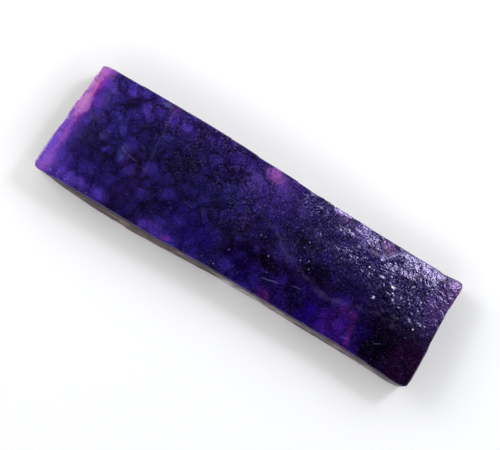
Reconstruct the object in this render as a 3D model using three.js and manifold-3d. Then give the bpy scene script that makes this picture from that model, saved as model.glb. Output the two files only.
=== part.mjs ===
// A sawn slab of tanzanite, 98 x 30 x 7 mm, lying on its flat underside.
//
// The stone is one piece. Its long sides and ends are saw cuts that wander a little, its four
// upright corners are worn round, and its upper face is half finished: the left part and a band
// along the lower long side are ground flat, while the upper right part is a broken, lumpy skin
// that starts at a curved line and falls away from it towards the upper long side.
//
// Frame: +X runs along the slab, +Y across it, +Z is up. The origin is the middle of the
// bounding box, on the surface that the slab rests on. Lengths are in millimetres.

import * as THREE from "three";
import { ImprovedNoise } from "three/addons/math/ImprovedNoise.js";
import { mergeVertices } from "three/addons/utils/BufferGeometryUtils.js";
import Module from "manifold-3d";

const wasm = await Module();
wasm.setup();

// Driving dimensions
const LENGTH = 97;
const WIDTH = 28;
const THICKNESS = 7;
const HALF_LENGTH = LENGTH / 2;
const HALF_WIDTH = WIDTH / 2;

// How far each saw cut stands out from a true rectangle, as [place along the cut, distance].
// The sides are read from left to right, the ends from the lower side to the upper one.
const UPPER_SIDE = [[-47.2, -0.18], [-40, 0.1], [-30, 0.4], [-19, 0.5], [-10, 0.42], [-6, 0.16],
  [1, 0.05], [7, -0.28], [17, -0.38], [30, -0.34], [35, -0.45], [40.5, -0.3], [43.6, -0.48],
  [45, -0.3], [47.9, -0.1]];
const LOWER_SIDE = [[-48, 0.5], [-40, 0.3], [-28, 0.14], [-17, 0.12], [-11, -0.12], [-4, -0.3],
  [8, -0.42], [20, -0.46], [31, -0.48], [38, -0.2], [43, 0.1], [47, 0.1]];
const LEFT_END = [[-13.3, 0.66], [-11.5, 0.68], [-5.5, 0.5], [-1.2, 0.12], [0.6, 0.28], [3.7, 0.05],
  [6.8, -0.26], [10, -0.42], [13.3, -0.68]];
const RIGHT_END = [[-12.7, 0.1], [-7, 0.14], [-3.6, 0.1], [-2.4, -0.06], [1, -0.12], [4, -0.1],
  [7.5, 0.06], [10, 0.3], [13.2, 0.46]];

// How far the foot of each saw cut stands out past its upper arris
const LOWER_SIDE_FLARE = [[-49, -1.0], [-42, 0.05], [-34, 0.65], [-24, 0.85], [-15, 0.6], [-4, 0.3],
  [10, 0.25], [30, 0.45], [38, 0.2], [43, 0], [49, -0.1]];
const UPPER_SIDE_FLARE = 0.3;
const END_FLARE = 0.25;

// The saw cuts' wear and waviness
const OUTLINE_STEP = 1.1;
const ARRIS_WEAR = 0.25;
const FOOT_WEAR = 0.35;
const CUT_WAVINESS = 0.16;
const CUT_WAVE_LENGTH = 5;

// The broken skin: it starts at a low ledge, a line across the upper face from left to right
const LEDGE = [[-14, 12], [-5, 6.5], [3.5, 2], [9, -1.6], [16.5, -4.2], [23, -5.1], [27, -3.9],
  [31, -3.1], [40, -2.9], [50, -3.3]];
const LEDGE_RUN = 5;
const SKIN_START = -12;
const SKIN_FULL = 26;
const SKIN_DEPTH = 0.12;
const LUMP_SPACING = { x: 4.2, y: 2.8 };
const LUMP_HEIGHT = 0.2;
const PIT_SPACING = 1.7;
const PIT_DEPTH = 0.22;

// The broken skin also falls away towards the upper long side, ever more steeply, and most of all
// at its right part
const SKIN_FALL = { run: 17, fromX: 0, toX: 24, drop: 1.7, power: 2.4 };

// Round forms on the broken skin, hollow where the height is below zero: the wide scoop at its
// right, the deepest pit with the two lumps of its rim, the knob at the upper right corner, and a
// low rise at its left
const KNOBS = [
  { x: 37, y: 4.5, radius: 9, height: -0.3 },
  { x: 34, y: 2.6, radius: 1.8, height: -0.35 },
  { x: 33.8, y: 4.6, radius: 1.4, height: 0.3 },
  { x: 30.6, y: 0.2, radius: 1.5, height: 0.25 },
  { x: 46.2, y: 11.4, radius: 3.4, height: 0.35 },
  { x: 16.5, y: 10.5, radius: 3.2, height: 0.1 },
];

// Long low folds of the broken skin, from one end to the other
const FOLDS = [
  { from: [33.2, 12.2], to: [27.6, 7.6], width: 1.1, height: 0.4 },
  { from: [42.5, 9.4], to: [31, 7.0], width: 1.5, height: 0.14 },
  { from: [24.5, 11.5], to: [17.5, 7], width: 1.4, height: 0.12 },
];

// The ground face's own wear
const LEFT_BEVEL = { run: 2.4, drop: 0.7 };
const LOWER_BEVEL = { run: 1.3, drop: 0.35, from: -34 };
const GROUND_WAVINESS = 0.05;
const GROUND_WAVE_LENGTH = 14;

// The grid of the upper face: wide cells on the ground part, small ones on the broken skin
const GRID_MARGIN = 2;
const GRID_COLUMNS = 88;
const GRID_ROWS = 30;
const GRID_FINENESS = 0.62;

// Chips broken out of the arrises: place of the middle, radius, height over the foot
const CHIPS = [
  { x: -48.7, y: -0.9, radius: 0.8, z: THICKNESS - 0.3 },
  { x: -48.3, y: 9.4, radius: 0.6, z: THICKNESS - 0.4 },
  { x: -39.6, y: -14.5, radius: 0.7, z: THICKNESS },
  { x: -12.4, y: -14.2, radius: 0.9, z: THICKNESS },
  { x: 21.2, y: -13.8, radius: 0.8, z: THICKNESS },
  { x: 8.5, y: 13.9, radius: 1.1, z: THICKNESS - 0.2 },
  { x: -5.2, y: 14.4, radius: 0.9, z: THICKNESS + 0.1 },
  { x: 42.4, y: 13.7, radius: 1.3, z: THICKNESS - 0.7 },
  { x: 49, y: -3, radius: 0.9, z: THICKNESS - 0.4 },
  { x: -26, y: -15, radius: 1.2, z: 0.1 },
  { x: 5, y: -14.3, radius: 1.1, z: 0 },
  { x: 34, y: -14.5, radius: 1.4, z: 0.1 },
  { x: -36, y: 14.9, radius: 1.3, z: 0 },
  { x: 12, y: 14.2, radius: 1.2, z: 0.1 },
  { x: -49.3, y: 5, radius: 1.2, z: 0 },
  { x: 49, y: 6.5, radius: 1.3, z: 0 },
];

const noise = new ImprovedNoise();

/** A smooth step from 0 at low to 1 at high. */
const ease = (value, low, high) => THREE.MathUtils.smoothstep(value, low, high);

/** The value at a place, on straight lines between [place, value] pairs. */
function along(pairs, place) {
  const last = pairs.length - 1;
  if (place <= pairs[0][0]) return pairs[0][1];
  if (place >= pairs[last][0]) return pairs[last][1];
  const next = pairs.findIndex(([at]) => at > place);
  const [fromPlace, fromValue] = pairs[next - 1];
  const [toPlace, toValue] = pairs[next];
  const share = (place - fromPlace) / (toPlace - fromPlace);
  return THREE.MathUtils.lerp(fromValue, toValue, share);
}

/** The slab seen from above, at its upper arris: four wandering saw cuts and four worn corners. */
function outline() {
  const lower = LOWER_SIDE.map(([x, out]) => new THREE.Vector2(x, -HALF_WIDTH - out));
  const right = RIGHT_END.map(([y, out]) => new THREE.Vector2(HALF_LENGTH + out, y));
  const upper = UPPER_SIDE.map(([x, out]) => new THREE.Vector2(x, HALF_WIDTH + out)).reverse();
  const left = LEFT_END.map(([y, out]) => new THREE.Vector2(-HALF_LENGTH - out, y)).reverse();
  const cuts = [lower, right, upper, left];
  const shape = new THREE.Shape();
  shape.moveTo(lower[0].x, lower[0].y);
  cuts.forEach((cut, index) => {
    const end = cut[cut.length - 1];
    const start = cuts[(index + 1) % cuts.length][0];
    const alongX = index % 2 === 0;
    const corner = alongX ? [start.x, end.y] : [end.x, start.y];
    shape.splineThru(cut.slice(1));
    shape.quadraticCurveTo(...corner, start.x, start.y);
  });
  return shape;
}

/** How far the foot stands out past the arris, for an outline point and its outward normal. */
function flareAt(point, normal) {
  const lowerShare = ease(-normal.y, 0.3, 0.9);
  const upperShare = ease(normal.y, 0.3, 0.9);
  const endShare = 1 - lowerShare - upperShare;
  return lowerShare * along(LOWER_SIDE_FLARE, point.x) + upperShare * UPPER_SIDE_FLARE
    + endShare * END_FLARE;
}

/** A closed geometry through rings of equal point counts, with flat caps at both ends. */
function loft(rings) {
  const count = rings[0].length;
  const positions = rings.flat().flatMap((p) => [p.x, p.y, p.z]);
  const index = [];
  for (let level = 0; level + 1 < rings.length; level++) {
    for (let i = 0; i < count; i++) {
      const a = level * count + i;
      const b = level * count + ((i + 1) % count);
      index.push(a, b, b + count, a, b + count, a + count);
    }
  }
  const top = (rings.length - 1) * count;
  const capFaces = (ring) => THREE.ShapeUtils.triangulateShape(
    ring.map((p) => new THREE.Vector2(p.x, p.y)), []);
  capFaces(rings[0]).forEach(([a, b, c]) => index.push(a, c, b));
  capFaces(rings[rings.length - 1]).forEach(([a, b, c]) => index.push(top + a, top + b, top + c));
  const geometry = new THREE.BufferGeometry();
  geometry.setAttribute("position", new THREE.Float32BufferAttribute(positions, 3));
  geometry.setIndex(index);
  return geometry;
}

/** The sawn blank: the outline carried down its four cuts, higher than the finished slab. */
function blank() {
  const shape = outline();
  const steps = Math.round(shape.getLength() / OUTLINE_STEP);
  const points = shape.getSpacedPoints(steps).slice(0, steps);
  const normals = points.map((_, i) => {
    const before = points[(i + steps - 1) % steps];
    const after = points[(i + 1) % steps];
    return new THREE.Vector2(after.y - before.y, before.x - after.x).normalize();
  });
  const overcut = 1;
  const levels = [
    { z: 0, flare: 1, inset: FOOT_WEAR, wave: 0.5 },
    { z: FOOT_WEAR, flare: 1, inset: 0, wave: 1 },
    { z: THICKNESS * 0.3, flare: 0.75, inset: 0, wave: 1 },
    { z: THICKNESS * 0.55, flare: 0.45, inset: 0, wave: 1 },
    { z: THICKNESS * 0.78, flare: 0.18, inset: 0, wave: 1 },
    { z: THICKNESS - ARRIS_WEAR, flare: 0, inset: 0, wave: 0.25 },
    { z: THICKNESS + overcut, flare: 0, inset: ARRIS_WEAR + overcut, wave: 0.25 },
  ];
  const rings = levels.map(({ z, flare, inset, wave }) => points.map((p, i) => {
    const n = normals[i];
    const ripple = noise.noise(p.x / CUT_WAVE_LENGTH, p.y / CUT_WAVE_LENGTH, z);
    const out = flare * flareAt(p, n) - inset + wave * CUT_WAVINESS * ripple;
    return new THREE.Vector3(p.x + n.x * out, p.y + n.y * out, z);
  }));
  return loft(rings);
}

/** How much of the broken skin a place on the upper face has, from 0 to 1. */
function skinShare(x, y) {
  const aboveLedge = y - along(LEDGE, x);
  const wander = 0.6 * noise.noise(x / 2.5, y / 2.5, 3);
  return ease(aboveLedge + wander, -LEDGE_RUN / 2, LEDGE_RUN / 2) * ease(x, SKIN_START, SKIN_FULL);
}

/** How high a round form stands at a place. */
function knobHeight(knob, x, y) {
  const distance = Math.hypot(x - knob.x, y - knob.y) / knob.radius;
  return knob.height * (1 - ease(distance, 0, 1));
}

/** How high a fold stands at a place. */
function foldHeight(fold, x, y) {
  const spine = new THREE.Line3(
    new THREE.Vector3(...fold.from, 0), new THREE.Vector3(...fold.to, 0));
  const place = new THREE.Vector3(x, y, 0);
  const nearest = spine.closestPointToPoint(place, true, new THREE.Vector3());
  return fold.height * (1 - ease(nearest.distanceTo(place) / fold.width, 0, 1));
}

/** How far the broken skin lies below the ground face. */
function skinDepth(x, y) {
  const lumps = noise.noise(x / LUMP_SPACING.x, y / LUMP_SPACING.y, 7);
  const pits = Math.abs(noise.noise(x / PIT_SPACING, y / PIT_SPACING, 11));
  const fallShare = THREE.MathUtils.clamp((y - along(LEDGE, x)) / SKIN_FALL.run, 0, 1);
  const fall = Math.pow(fallShare, SKIN_FALL.power) * ease(x, SKIN_FALL.fromX, SKIN_FALL.toX);
  const knobs = KNOBS.reduce((sum, knob) => sum + knobHeight(knob, x, y), 0);
  const folds = FOLDS.reduce((sum, fold) => sum + foldHeight(fold, x, y), 0);
  return SKIN_DEPTH + SKIN_FALL.drop * fall + PIT_DEPTH * pits - LUMP_HEIGHT * lumps - knobs - folds;
}

/** The height of the upper face over the foot. */
function faceHeight(x, y) {
  const broken = Math.max(0, skinDepth(x, y));
  const skin = skinShare(x, y);
  const waves = noise.noise(x / GROUND_WAVE_LENGTH, y / GROUND_WAVE_LENGTH, 1);
  const leftBevel = LEFT_BEVEL.drop * (1 - ease(x + HALF_LENGTH, 0, LEFT_BEVEL.run));
  const lowerBevel = LOWER_BEVEL.drop * (1 - ease(y + HALF_WIDTH, -0.4, LOWER_BEVEL.run))
    * (1 - ease(x, LOWER_BEVEL.from - 6, LOWER_BEVEL.from));
  return THICKNESS - skin * broken - leftBevel - lowerBevel - GROUND_WAVINESS * (1 + waves);
}

/** A block whose top is the upper face, larger than the slab in plan and reaching below it. */
function workedFace() {
  const x0 = -HALF_LENGTH - GRID_MARGIN;
  const spanX = LENGTH + 2 * GRID_MARGIN;
  const spanY = WIDTH + 2 * GRID_MARGIN;
  const depth = THICKNESS + 2;
  const block = new THREE.BoxGeometry(1, 1, 1, GRID_COLUMNS, GRID_ROWS, 1);
  block.deleteAttribute("normal");
  block.deleteAttribute("uv");
  const position = block.attributes.position;
  for (let i = 0; i < position.count; i++) {
    const across = position.getX(i) + 0.5;
    const x = x0 + spanX * Math.pow(across, GRID_FINENESS);
    const y = spanY * position.getY(i);
    const isTop = position.getZ(i) > 0;
    position.setXYZ(i, x, y, isTop ? faceHeight(x, y) : THICKNESS - depth);
  }
  return block;
}

/** A chip's hollow: a small many-faced lump set into an arris. */
function chipHollow({ x, y, radius, z }, index) {
  const hollow = new THREE.IcosahedronGeometry(radius, 0);
  hollow.rotateX(index * 1.3);
  hollow.rotateZ(index * 2.1);
  const alongSide = Math.abs(y) > HALF_WIDTH - 1;
  const [longWay, shortWay] = [1.7, 0.6];
  hollow.scale(alongSide ? longWay : shortWay, alongSide ? shortWay : longWay, 0.7);
  hollow.translate(x, y, z);
  return hollow;
}

/** A closed geometry as a solid that can be cut and joined. */
function solidOf(geometry) {
  const bare = new THREE.BufferGeometry();
  bare.setAttribute("position", geometry.attributes.position.clone());
  if (geometry.index) bare.setIndex(geometry.index.clone());
  const merged = mergeVertices(bare, 1e-4);
  return new wasm.Manifold(new wasm.Mesh({
    numProp: 3,
    vertProperties: merged.attributes.position.array,
    triVerts: new Uint32Array(merged.index.array),
  }));
}

/** A solid as flat-shaded geometry, with the middle of its foot at the origin. */
function geometryOf(solid) {
  const mesh = solid.getMesh();
  const geometry = new THREE.BufferGeometry();
  geometry.setAttribute("position", new THREE.BufferAttribute(mesh.vertProperties, mesh.numProp));
  geometry.setIndex(new THREE.BufferAttribute(mesh.triVerts, 1));
  geometry.computeBoundingBox();
  const { min, max } = geometry.boundingBox;
  geometry.translate(-(min.x + max.x) / 2, -(min.y + max.y) / 2, -min.z);
  const faceted = geometry.toNonIndexed();
  faceted.computeVertexNormals();
  return faceted;
}

/** The slab: the sawn blank, cut down to its worked face, less the chips. */
function slab() {
  const stone = new THREE.MeshStandardMaterial({
    color: 0x2c1c6e,
    roughness: 0.28,
    metalness: 0,
    flatShading: true,
  });
  const worked = solidOf(blank()).intersect(solidOf(workedFace()));
  const chipped = CHIPS.map(chipHollow).reduce(
    (solid, hollow) => solid.subtract(solidOf(hollow)), worked);
  const mesh = new THREE.Mesh(geometryOf(chipped), stone);
  mesh.name = "tanzanite_slab";
  return mesh;
}

const specimen = new THREE.Group();
specimen.name = "tanzanite";
specimen.add(slab());

export default specimen;
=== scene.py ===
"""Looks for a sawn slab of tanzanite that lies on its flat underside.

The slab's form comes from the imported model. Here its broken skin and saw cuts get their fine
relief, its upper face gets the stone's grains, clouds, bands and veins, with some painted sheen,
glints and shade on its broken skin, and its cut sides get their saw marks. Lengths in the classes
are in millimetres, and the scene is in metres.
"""

import logging
import math
from collections.abc import Callable
from dataclasses import dataclass, field
from enum import Enum
from functools import partial, reduce
from typing import ClassVar, Union

import bpy
from mathutils import Matrix, Vector, noise


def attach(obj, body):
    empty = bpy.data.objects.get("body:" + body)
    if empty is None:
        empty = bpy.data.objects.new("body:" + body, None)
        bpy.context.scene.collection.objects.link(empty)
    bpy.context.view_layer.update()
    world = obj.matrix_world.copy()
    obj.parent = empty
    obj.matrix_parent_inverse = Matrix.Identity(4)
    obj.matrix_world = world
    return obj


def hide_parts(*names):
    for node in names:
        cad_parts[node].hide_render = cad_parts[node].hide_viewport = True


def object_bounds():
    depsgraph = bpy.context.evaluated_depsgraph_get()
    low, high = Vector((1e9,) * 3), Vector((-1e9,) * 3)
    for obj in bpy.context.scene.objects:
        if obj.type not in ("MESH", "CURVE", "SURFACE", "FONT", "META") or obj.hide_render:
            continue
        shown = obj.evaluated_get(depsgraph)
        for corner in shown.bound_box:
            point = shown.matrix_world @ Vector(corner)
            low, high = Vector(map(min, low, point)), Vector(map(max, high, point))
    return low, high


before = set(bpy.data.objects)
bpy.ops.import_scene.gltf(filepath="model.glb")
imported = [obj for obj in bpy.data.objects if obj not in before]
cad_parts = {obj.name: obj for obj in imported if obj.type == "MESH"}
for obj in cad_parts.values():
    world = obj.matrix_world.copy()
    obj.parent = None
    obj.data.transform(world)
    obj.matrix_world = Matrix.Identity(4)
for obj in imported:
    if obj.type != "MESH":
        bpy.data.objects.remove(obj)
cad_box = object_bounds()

log = logging.getLogger("tanzanite")

MM = 0.001
CAD_NODE = "tanzanite_slab"
PIECE_NAME = "tanzanite_stone"
BODY = "root"
GLAZE = "glaze"

Colour = tuple[float, float, float, float]
Span = tuple[float, float]
Tint = tuple[int, int, int]
Row = tuple[Union[Tint, float], ...]
Stops = tuple[tuple[float, Tint, float], ...]
Socket = bpy.types.NodeSocket
Sockets = bpy.types.bpy_prop_collection
Value = Union[Socket, float, tuple[float, ...]]

ORIGIN = (0.0, 0.0, 0.0)
WHITE = (1.0, 1.0, 1.0, 1.0)

# A noise's middle value, and the spans that hold nearly all and most of its values
MIDDLE = 0.5
WIDE = (0.2, 0.8)
NARROW = (0.3, 0.7)


def tone(red: int, green: int, blue: int) -> Colour:
    """Makes a linear colour.

    Args:
        red: how red it looks on a screen, 0 to 255.
        green: how green it looks.
        blue: how blue it looks.

    Returns:
        The colour.
    """
    shares = (channel / 255 for channel in (red, green, blue))
    return (*(share / 12.92 if share <= 0.04045 else ((share + 0.055) / 1.055) ** 2.4
              for share in shares), 1.0)


def ease(value: float, low: float, high: float) -> float:
    """A smooth step from 0 at low to 1 at high."""
    share = min(1.0, max(0.0, (value - low) / (high - low)))
    return share * share * (3 - 2 * share)


class Zone(Enum):
    """The two kinds of surface on the slab."""

    WORKED = "worked face"
    SAWN = "saw cuts and underside"


class Bench:
    """Adds nodes to one tree and wires them, from left to right."""

    def __init__(self, tree: bpy.types.NodeTree) -> None:
        """Takes the tree that the nodes go in."""
        self.tree = tree

    def feed(self, socket: Socket, value: Value) -> None:
        """Feeds a socket.

        Args:
            socket: the input that is fed.
            value: another socket, to link, or a plain value.
        """
        if isinstance(value, Socket):
            self.tree.links.new(value, socket)
        else:
            socket.default_value = value

    def node(self, kind: str, *inputs: Value, **settings: object) -> bpy.types.Node:
        """Adds one node.

        Args:
            kind: the node's type, without its ShaderNode prefix.
            inputs: what its first inputs are fed with, in order.
            settings: its properties.

        Returns:
            The new node.
        """
        made = self.tree.nodes.new("ShaderNode" + kind)
        for name, value in settings.items():
            setattr(made, name, value)
        for socket, value in zip(made.inputs, inputs):
            self.feed(socket, value)
        return made

    def math(self, operation: str, first: Value, second: Value = 0.0,
             clamp: bool = False) -> Socket:
        """The result of a sum of two values."""
        return self.node("Math", first, second, operation=operation, use_clamp=clamp).outputs[0]

    def times(self, first: Value, *others: Value) -> Value:
        """The product of some values."""
        return reduce(partial(self.math, "MULTIPLY"), others, first)

    def plus(self, first: Value, *others: Value) -> Value:
        """The total of some values."""
        return reduce(partial(self.math, "ADD"), others, first)

    def minus(self, first: Value, second: Value) -> Socket:
        """What is left of the first value without the second."""
        return self.math("SUBTRACT", first, second)

    def vector(self, operation: str, first: Value, second: Value = ORIGIN,
               scale: Value = 1.0) -> Socket:
        """Adds a sum of two vectors.

        Args:
            operation: what is done with them.
            first: the first vector.
            second: the second vector, if it takes one.
            scale: the factor, if it scales.

        Returns:
            The vector, or the number for a length or a dot product.
        """
        made = self.node("VectorMath", first, second, operation=operation)
        if operation == "SCALE":
            self.feed(made.inputs["Scale"], scale)
        return made.outputs["Value" if operation in ("LENGTH", "DOT_PRODUCT") else "Vector"]

    def lean(self, colour: Value, reach: Value) -> Socket:
        """A random colour as a vector that points any way, by a reach."""
        centred = self.vector("SUBTRACT", colour, (MIDDLE, MIDDLE, MIDDLE))
        return self.vector("SCALE", centred, scale=reach)

    def step(self, value: Value, low: Value, high: Value, start: Value = 0.0,
             end: Value = 1.0) -> Socket:
        """A smooth step from start at low to end at high."""
        return self.node("MapRange", value, low, high, start, end,
                         interpolation_type="SMOOTHSTEP").outputs["Result"]

    def fade(self, value: Value, low: Value, high: Value, end: float = 0.0) -> Socket:
        """A smooth step from 1 at low down to end at high."""
        return self.step(value, low, high, 1.0, end)

    def sway(self, cloud: Value, reach: float) -> Socket:
        """A noise as a push of up to a reach either way."""
        return self.step(cloud, *WIDE, -reach, reach)

    def vary(self, cloud: Value, start: float = 0.0, end: float = 1.0) -> Socket:
        """A noise spread from start to end."""
        return self.step(cloud, *NARROW, start, end)

    def mix(self, share: Value, under: Value, over: Value, blend: str = "MIX") -> Socket:
        """Lays one colour over another.

        Args:
            share: how much of the upper colour shows.
            under: the lower colour.
            over: the upper colour.
            blend: how they are blended.

        Returns:
            The new colour.
        """
        made = self.node("Mix", share, data_type="RGBA", blend_type=blend)
        self.feed(made.inputs[6], under)
        self.feed(made.inputs[7], over)
        return made.outputs[2]

    def clouds(self, place: Value, size: float = 1.0, detail: float = 3.0,
               roughness: float = 0.55, swirl: float = 0.0,
               stretch: tuple[float, float, float] | None = None) -> tuple[Socket, Socket]:
        """Adds noise.

        Args:
            place: where it is taken.
            size: the size of its lumps, in the place's units.
            detail: how many finer layers it has.
            roughness: how strong those are.
            swirl: how much it is twisted.
            stretch: what the place is first multiplied by, if by anything.

        Returns:
            Its value and its colour.
        """
        made = self.node("TexNoise", self.vector("MULTIPLY", place, stretch) if stretch else place)
        for name, setting in (("Scale", 1 / size), ("Detail", detail), ("Roughness", roughness),
                              ("Distortion", swirl)):
            self.feed(made.inputs[name], setting)
        return made.outputs["Fac"], made.outputs["Color"]

    def cells(self, place: Value, size: float = 1.0, feature: str = "F1",
              random: float = 1.0) -> Sockets:
        """Adds a cell pattern.

        Args:
            place: where it is taken.
            size: the size of its cells, in the place's units.
            feature: what it measures.
            random: how uneven the cells are.

        Returns:
            Its outputs, by name.
        """
        made = self.node("TexVoronoi", place, feature=feature)
        self.feed(made.inputs["Scale"], 1 / size)
        self.feed(made.inputs["Randomness"], random)
        return made.outputs

    def ramp(self, value: Value, stops: list[tuple[float, Colour]]) -> Socket:
        """Adds a colour ramp.

        Args:
            value: what it is read by.
            stops: the place and the colour of each stop.

        Returns:
            Its colour.
        """
        made = self.node("ValToRGB", value)
        elements = made.color_ramp.elements
        while len(elements) < len(stops):
            elements.new(1.0)
        for element, (at, colour) in zip(elements, stops):
            element.position = at
            element.color = colour
        return made.outputs["Color"]

    def bump(self, height: Value, distance: float, **others: Value) -> Socket:
        """Adds a bump.

        Args:
            height: how high a place stands, 1 for the whole distance.
            distance: the bump's distance in millimetres.
            others: what its other inputs are fed with, by name.

        Returns:
            Its normal.
        """
        made = self.node("Bump")
        for name, value in {"Distance": distance * MM, "Height": height, **others}.items():
            self.feed(made.inputs[name], value)
        return made.outputs["Normal"]

    def group(self, effect: "type[Effect]", **inputs: Value) -> Sockets:
        """Places an effect's node group.

        Args:
            effect: which effect.
            inputs: what its inputs are fed with, by name.

        Returns:
            Its outputs, by name.
        """
        made = self.node("Group", node_tree=effect.tree)
        for name, value in inputs.items():
            self.feed(made.inputs[name], value)
        return made.outputs


class Effect:
    """A shader node group that makes one effect, built once and placed where it is needed."""

    name: ClassVar[str] = "effect"
    takes: ClassVar[dict[str, tuple[str, object]]] = {"Place": ("Vector", ORIGIN)}
    gives: ClassVar[dict[str, str]] = {}
    tree: ClassVar[bpy.types.NodeTree]

    def __init__(self) -> None:
        """Makes the group, its sockets and its nodes, and keeps it with its class."""
        tree = bpy.data.node_groups.new(self.name, "ShaderNodeTree")
        for socket, (kind, default) in self.takes.items():
            made = tree.interface.new_socket(
                socket, in_out="INPUT", socket_type="NodeSocket" + kind)
            made.default_value = default
        for socket, kind in self.gives.items():
            tree.interface.new_socket(socket, in_out="OUTPUT", socket_type="NodeSocket" + kind)
        bench = Bench(tree)
        start = tree.nodes.new("NodeGroupInput")
        end = tree.nodes.new("NodeGroupOutput")
        for socket, value in self.build(bench, start.outputs).items():
            bench.feed(end.inputs[socket], value)
        type(self).tree = tree

    def build(self, bench: Bench, given: Sockets) -> dict[str, Socket]:
        """Builds the effect's nodes.

        Args:
            bench: where the nodes go.
            given: the group's inputs, by name.

        Returns:
            What each output of the group is fed with.
        """
        raise NotImplementedError


class SoftPatch(Effect):
    """A soft oval patch with a ragged edge."""

    name = "soft_patch"
    takes = Effect.takes | {
        "Centre": ("Vector", ORIGIN),
        "Reach": ("Vector", (1.0, 1.0, 1.0)),
        "Turn": ("Float", 0.0),
        "Soft": ("Float", 0.4),
        "Ragged": ("Float", 0.5),
    }
    gives = {"Mask": "Float"}
    ripple_size: ClassVar[float] = 1.6

    def build(self, bench: Bench, given: Sockets) -> dict[str, Socket]:
        """Builds the patch from the distance to its centre.

        Args:
            bench: where the nodes go.
            given: the group's inputs, by name.

        Returns:
            The patch's mask.
        """
        offset = bench.vector("SUBTRACT", given["Place"], given["Centre"])
        turned = bench.node("VectorRotate", offset, rotation_type="Z_AXIS")
        bench.feed(turned.inputs["Angle"], bench.times(given["Turn"], -1.0))
        scaled = bench.vector("DIVIDE", turned.outputs["Vector"], given["Reach"])
        ripple, _ = bench.clouds(given["Place"], self.ripple_size)
        edge = bench.times(bench.minus(ripple, MIDDLE), given["Ragged"], 2.0)
        ragged = bench.plus(bench.vector("LENGTH", scaled), edge)
        inner = bench.minus(1.0, given["Soft"])
        return {"Mask": bench.fade(ragged, inner, bench.plus(1.0, given["Soft"]))}


class FineLine(Effect):
    """A hairline between two points, with faded ends."""

    name = "fine_line"
    takes = Effect.takes | {
        "From": ("Vector", ORIGIN),
        "To": ("Vector", (1.0, 0.0, 0.0)),
        "Width": ("Float", 0.2),
    }
    gives = {"Mask": "Float"}
    shake_size: ClassVar[float] = 1.4
    shake_reach: ClassVar[float] = 0.5

    def build(self, bench: Bench, given: Sockets) -> dict[str, Socket]:
        """Builds the line from the distance to the nearest point on it.

        Args:
            bench: where the nodes go.
            given: the group's inputs, by name.

        Returns:
            The line's mask.
        """
        _, shake = bench.clouds(given["Place"], self.shake_size, detail=2.0)
        shaken = bench.vector("ADD", given["Place"], bench.lean(shake, self.shake_reach))
        flat = bench.vector("MULTIPLY", shaken, (1.0, 1.0, 0.0))
        run = bench.vector("SUBTRACT", given["To"], given["From"])
        offset = bench.vector("SUBTRACT", flat, given["From"])
        share = bench.math("DIVIDE", bench.vector("DOT_PRODUCT", offset, run),
                           bench.vector("DOT_PRODUCT", run, run))
        held = bench.math("MINIMUM", bench.math("MAXIMUM", share, 0.0), 1.0)
        nearest = bench.vector("SCALE", run, scale=held)
        distance = bench.vector("LENGTH", bench.vector("SUBTRACT", offset, nearest))
        ends = bench.times(bench.step(share, -0.02, 0.25), bench.fade(share, 0.75, 1.02))
        return {"Mask": bench.times(bench.fade(distance, 0.0, given["Width"]), ends)}


class GrainMosaic(Effect):
    """The stone's own grains: rounded cells with soft dark seams, each its own shade."""

    name = "grain_mosaic"
    gives = {"Shade": "Float", "Hue": "Float", "Seam": "Float", "Dust": "Float"}
    warp_size: ClassVar[float] = 2.6
    large: ClassVar[float] = 3.2
    small: ClassVar[float] = 1.9
    unevenness: ClassVar[float] = 0.85
    seam_width: ClassVar[float] = 0.22
    open_size: ClassVar[float] = 3.4
    dust_size: ClassVar[float] = 0.38

    def build(self, bench: Bench, given: Sockets) -> dict[str, Socket]:
        """Builds two sizes of grain and lays them over each other.

        Args:
            bench: where the nodes go.
            given: the group's inputs, by name.

        Returns:
            The grains' shade, hue, seams and dust.
        """
        _, push = bench.clouds(given["Place"], self.warp_size)
        place = bench.vector("ADD", given["Place"], bench.lean(push, 1.0))
        shades, hues, seams = [], [], []
        for size in (self.large, self.small):
            cell = bench.cells(place, size, random=self.unevenness)
            edge = bench.cells(place, size, feature="DISTANCE_TO_EDGE", random=self.unevenness)
            chance, hue, _ = bench.node("SeparateColor", cell["Color"]).outputs
            dome = bench.step(cell["Distance"], 0.22, 0.72, 1.02, 0.3)
            shades.append(bench.times(dome, bench.step(chance, 0.0, 1.0, 0.6, 1.08)))
            hues.append(hue)
            seams.append(bench.fade(edge["Distance"], 0.0, self.seam_width))
        patchy, _ = bench.clouds(given["Place"], self.open_size, detail=2.0)
        seam = bench.math("MAXIMUM", seams[0], bench.times(seams[1], 0.35))
        dust, _ = bench.clouds(given["Place"], self.dust_size, detail=2.0, roughness=0.6)
        return {
            "Shade": bench.plus(bench.times(shades[0], 0.84), bench.times(shades[1], 0.24)),
            "Hue": hues[0],
            "Seam": bench.times(seam, bench.step(patchy, 0.36, 0.64, 0.1, 1.0)),
            "Dust": bench.step(dust, 0.34, 0.66),
        }


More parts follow.
